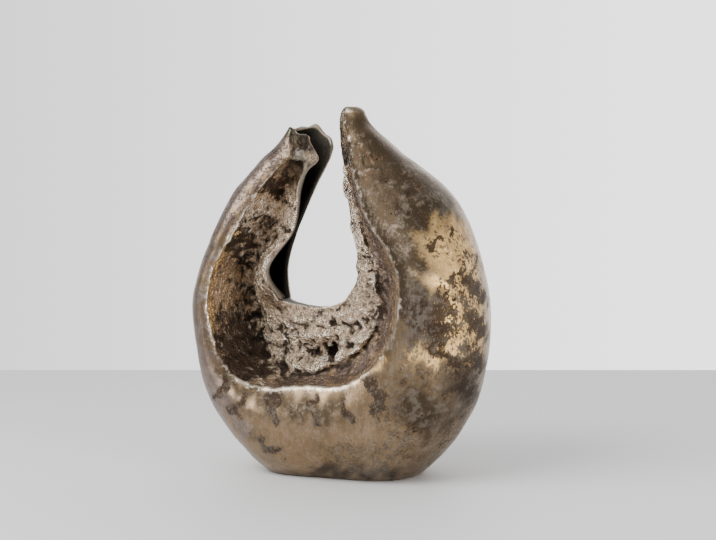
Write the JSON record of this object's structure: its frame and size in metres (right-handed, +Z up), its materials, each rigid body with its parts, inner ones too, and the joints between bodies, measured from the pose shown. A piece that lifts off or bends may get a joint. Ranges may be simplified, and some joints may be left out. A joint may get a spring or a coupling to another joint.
{
  "type": "abstract cast bronze sculpture",
  "caption": "Abstract bronze form: a flattened egg, open in the middle, rising into a cut-off hollow horn and a closed one, with a rough crust round the opening.",
  "frame": {"origin": "middle of the bounding box in X and Y, at the height of the flat seat that it stands on", "axes": "+Z up; the front with the crust and the opening faces -Y; the hollow cut-off horn is on the -X side"},
  "size_m": [0.2654, 0.1492, 0.32],
  "materials": {
    "bronze": "patinated bronze: brushed brown-gold outer walls with mauve-grey bands, a dark, sparkling rough crust round the opening and a worn bright lip"
  },
  "bodies": {
    "root": {"sculpture": "bronze"}
  },
  "joints": []
}
